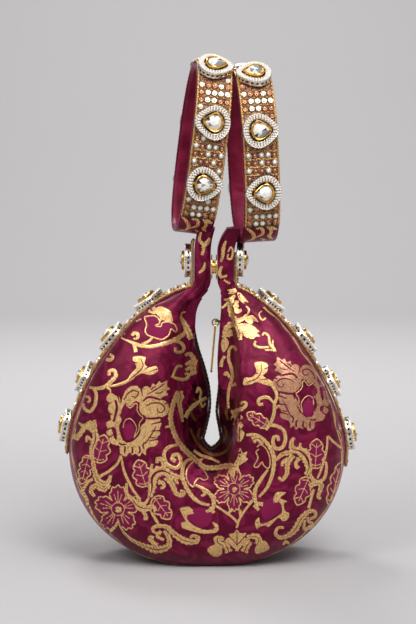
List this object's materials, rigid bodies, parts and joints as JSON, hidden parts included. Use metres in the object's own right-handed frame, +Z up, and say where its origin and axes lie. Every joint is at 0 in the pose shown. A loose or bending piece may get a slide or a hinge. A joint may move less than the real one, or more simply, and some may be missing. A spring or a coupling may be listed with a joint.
{
  "type": "embellished clutch",
  "caption": "Stuffed brocade crescent pouch whose horns meet at a magnetic snap, with a zipped mouth, jewelled rim trim and jewelled bracelet handles.",
  "frame": {"origin": "middle of the flat sole, on the surface that the clutch stands on", "axes": "+Z up through the handles, -Y out of the front, +X to the viewer's right"},
  "size_m": [0.2154, 0.0946, 0.3571],
  "materials": {
    "brocade": "maroon silk brocade with gold thread figures",
    "satin": "maroon satin weave",
    "trim_cloth": "maroon ribbon sewn with gold thread and rows of beads",
    "zip_cloth": "dark maroon zip tape",
    "gold": "polished gold plate",
    "silver": "silver plated settings with small white stones",
    "crystal": "clear cut crystal"
  },
  "bodies": {
    "pouch": {"pouch_body": "brocade", "zip_tape": "zip_cloth", "zip_chain": "gold", "snap_socket": "gold", "snap_stud": "gold", "left_side_trim": "trim_cloth", "left_handle_trim": "trim_cloth", "left_handle_band": "brocade", "left_handle_lining": "satin", "right_side_trim": "trim_cloth", "right_handle_trim": "trim_cloth", "right_handle_band": "brocade", "right_handle_lining": "satin", "left_front_low_setting": "silver", "left_front_low_stone": "crystal", "left_front_mid_setting": "silver", "left_front_mid_stone": "crystal", "left_front_top_setting": "silver", "left_front_top_stone": "crystal", "left_back_top_setting": "silver", "left_back_top_stone": "crystal", "left_back_mid_setting": "silver", "left_back_mid_stone": "crystal", "left_back_low_setting": "silver", "left_back_low_stone": "crystal", "right_front_low_setting": "silver", "right_front_low_stone": "crystal", "right_front_mid_setting": "silver", "right_front_mid_stone": "crystal", "right_front_top_setting": "silver", "right_front_top_stone": "crystal", "right_back_top_setting": "silver", "right_back_top_stone": "crystal", "right_back_mid_setting": "silver", "right_back_mid_stone": "crystal", "right_back_low_setting": "silver", "right_back_low_stone": "crystal", "left_side_1_setting": "silver", "left_side_1_stone": "crystal", "left_side_2_setting": "silver", "left_side_2_stone": "crystal", "left_side_3_setting": "silver", "left_side_3_stone": "crystal", "left_side_4_setting": "silver", "left_side_4_stone": "crystal", "left_side_5_setting": "silver", "left_side_5_stone": "crystal", "right_side_1_setting": "silver", "right_side_1_stone": "crystal", "right_side_2_setting": "silver", "right_side_2_stone": "crystal", "right_side_3_setting": "silver", "right_side_3_stone": "crystal", "right_side_4_setting": "silver", "right_side_4_stone": "crystal", "right_side_5_setting": "silver", "right_side_5_stone": "crystal"},
    "slider": {"zip_slider": "gold"},
    "pull_ring": {"zip_pull_ring": "gold"},
    "pull_tab": {"zip_pull_tab": "gold"}
  },
  "joints": [
    {"name": "zip_slide", "type": "slide", "parent": "pouch", "child": "slider", "axis": [0.0738, 0.0563, 0.9957], "range_m": [-0.034, 0]},
    {"name": "pull_ring_swing", "type": "hinge", "parent": "slider", "child": "pull_ring", "pos_m": [0.00616, -0.00418, 0.16996], "axis": [0, 1, 0], "range_deg": [-5, 7]},
    {"name": "pull_tab_swing", "type": "hinge", "parent": "pull_ring", "child": "pull_tab", "pos_m": [0.00587, -0.00418, 0.16657], "axis": [0.9962, 0, -0.0872], "range_deg": [-90, 90]}
  ]
}
